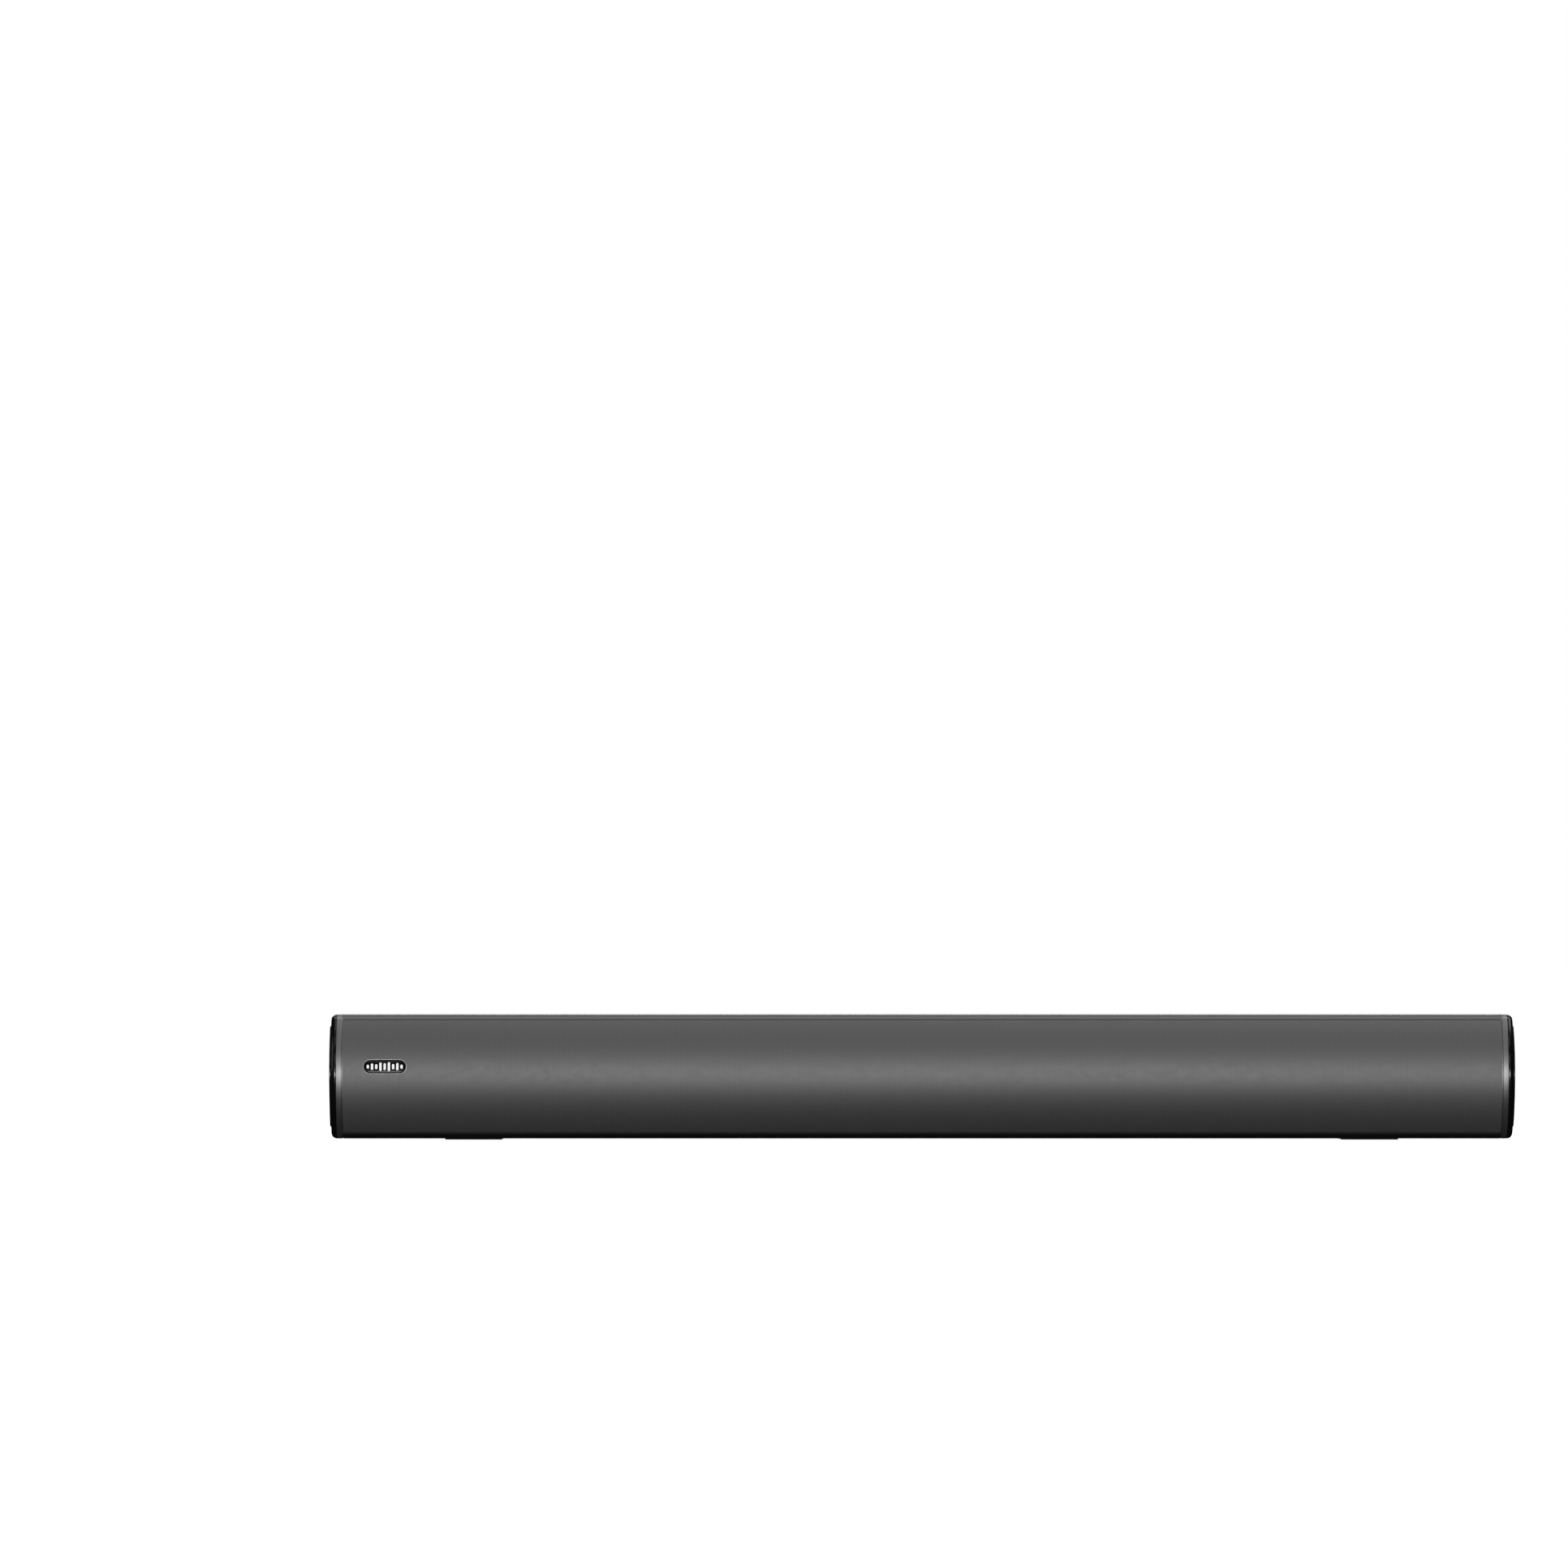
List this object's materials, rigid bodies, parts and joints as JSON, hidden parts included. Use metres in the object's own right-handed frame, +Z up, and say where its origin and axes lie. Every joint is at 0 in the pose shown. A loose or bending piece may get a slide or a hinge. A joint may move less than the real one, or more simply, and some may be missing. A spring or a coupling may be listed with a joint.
{
  "type": "soundbar",
  "caption": "Long low soundbar with a curved perforated grille, glossy banded end caps, round keys on top and a socket recess at the back.",
  "frame": {"origin": "middle of the footprint, on the surface the bar stands on (bottom centre of its box)", "axes": "+X to the listener's right along the bar, -Y the front with the grille, +Z up"},
  "size_m": [0.62, 0.072, 0.0657],
  "materials": {
    "grille_steel": "fine-perforated sheet, satin dark grey powder coat",
    "acoustic_cloth": "thin black woven cloth",
    "cover_plastic": "fine satin texture, dark grey",
    "base_plastic": "fine matt texture, black",
    "collar_finish": "smooth dark metallic lacquer",
    "cap_gloss": "polished black",
    "badge_finish": "black pill with a thin pale rim",
    "panel_plastic": "satin black",
    "button_plastic": "satin black, soft edge",
    "socket_plastic": "moulded black",
    "socket_metal": "nickel-plated shell",
    "circuit_board": "green solder mask",
    "component_plastic": "moulded components",
    "shield_steel": "tinned shield can",
    "heat_sink_aluminium": "extruded, black anodised",
    "baffle_plastic": "moulded black",
    "foot_rubber": "soft black",
    "screw_steel": "black zinc",
    "basket_steel": "pressed, black",
    "pole_steel": "zinc-plated",
    "ferrite": "ground ferrite",
    "cone_paper": "pressed coated paper",
    "coil_copper": "wound copper on a former",
    "surround_rubber": "moulded roll",
    "spider_cloth": "pressed resin cloth",
    "foam": "open-cell foam",
    "wire_sleeve": "insulated wire"
  },
  "bodies": {
    "casing": {"front_grille": "grille_steel", "grille_cloth": "acoustic_cloth", "upper_housing": "cover_plastic", "lower_housing": "base_plastic", "keyhole_cups": "base_plastic", "left_end_collar": "collar_finish", "right_end_collar": "collar_finish", "left_end_cap": "cap_gloss", "right_end_cap": "cap_gloss", "left_end_plate": "cap_gloss", "right_end_plate": "cap_gloss", "badge": "badge_finish", "control_panel": "panel_plastic", "port_panel": "socket_plastic", "dc_socket": "socket_plastic", "optical_socket": "socket_plastic", "aux_socket": "socket_plastic", "key_switches": "socket_plastic", "hdmi_socket": "socket_metal", "usb_socket": "socket_metal", "main_board": "circuit_board", "key_board": "circuit_board", "status_board": "circuit_board", "board_parts": "component_plastic", "wireless_module": "shield_steel", "heat_sink": "heat_sink_aluminium", "front_baffle": "baffle_plastic", "partitions": "baffle_plastic", "rubber_feet": "foot_rubber", "housing_screws": "screw_steel", "end_cap_screws": "screw_steel", "driver_screws": "screw_steel", "board_screws": "screw_steel", "left_basket": "basket_steel", "right_basket": "basket_steel", "left_top_plate": "pole_steel", "right_top_plate": "pole_steel", "left_yoke": "pole_steel", "right_yoke": "pole_steel", "left_magnet": "ferrite", "right_magnet": "ferrite", "left_surround": "surround_rubber", "right_surround": "surround_rubber", "left_spider": "spider_cloth", "right_spider": "spider_cloth", "driver_gaskets": "foam", "damping_pads": "foam", "speaker_wires": "wire_sleeve", "key_ribbon": "wire_sleeve"},
    "power_key": {"power_button": "button_plastic"},
    "source_key": {"source_button": "button_plastic"},
    "volume_down_key": {"volume_down_button": "button_plastic"},
    "volume_up_key": {"volume_up_button": "button_plastic"},
    "left_cone_unit": {"left_cone": "cone_paper", "left_dust_cap": "cone_paper", "left_voice_coil": "coil_copper"},
    "right_cone_unit": {"right_cone": "cone_paper", "right_dust_cap": "cone_paper", "right_voice_coil": "coil_copper"},
    "shutter": {"optical_shutter": "socket_plastic"}
  },
  "joints": [
    {"name": "power_press", "type": "slide", "parent": "casing", "child": "power_key", "axis": [0, 0, -1], "range_m": [0, 0.0006], "stiffness_N_per_m": 1500},
    {"name": "source_press", "type": "slide", "parent": "casing", "child": "source_key", "axis": [0, 0, -1], "range_m": [0, 0.0006], "stiffness_N_per_m": 1500},
    {"name": "volume_down_press", "type": "slide", "parent": "casing", "child": "volume_down_key", "axis": [0, 0, -1], "range_m": [0, 0.0006], "stiffness_N_per_m": 1500},
    {"name": "volume_up_press", "type": "slide", "parent": "casing", "child": "volume_up_key", "axis": [0, 0, -1], "range_m": [0, 0.0006], "stiffness_N_per_m": 1500},
    {"name": "left_cone_travel", "type": "slide", "parent": "casing", "child": "left_cone_unit", "axis": [0, 1, 0], "range_m": [-0.0025, 0.0025], "stiffness_N_per_m": 2000, "deforming": ["left_surround", "left_spider"]},
    {"name": "right_cone_travel", "type": "slide", "parent": "casing", "child": "right_cone_unit", "axis": [0, 1, 0], "range_m": [-0.0025, 0.0025], "stiffness_N_per_m": 2000, "deforming": ["right_surround", "right_spider"]},
    {"name": "shutter_swing", "type": "hinge", "parent": "casing", "child": "shutter", "pos_m": [-0.023, 0.026, 0.0222], "axis": [-1, 0, 0], "range_deg": [0, 80], "stiffness_Nm_per_rad": 0.0002}
  ]
}
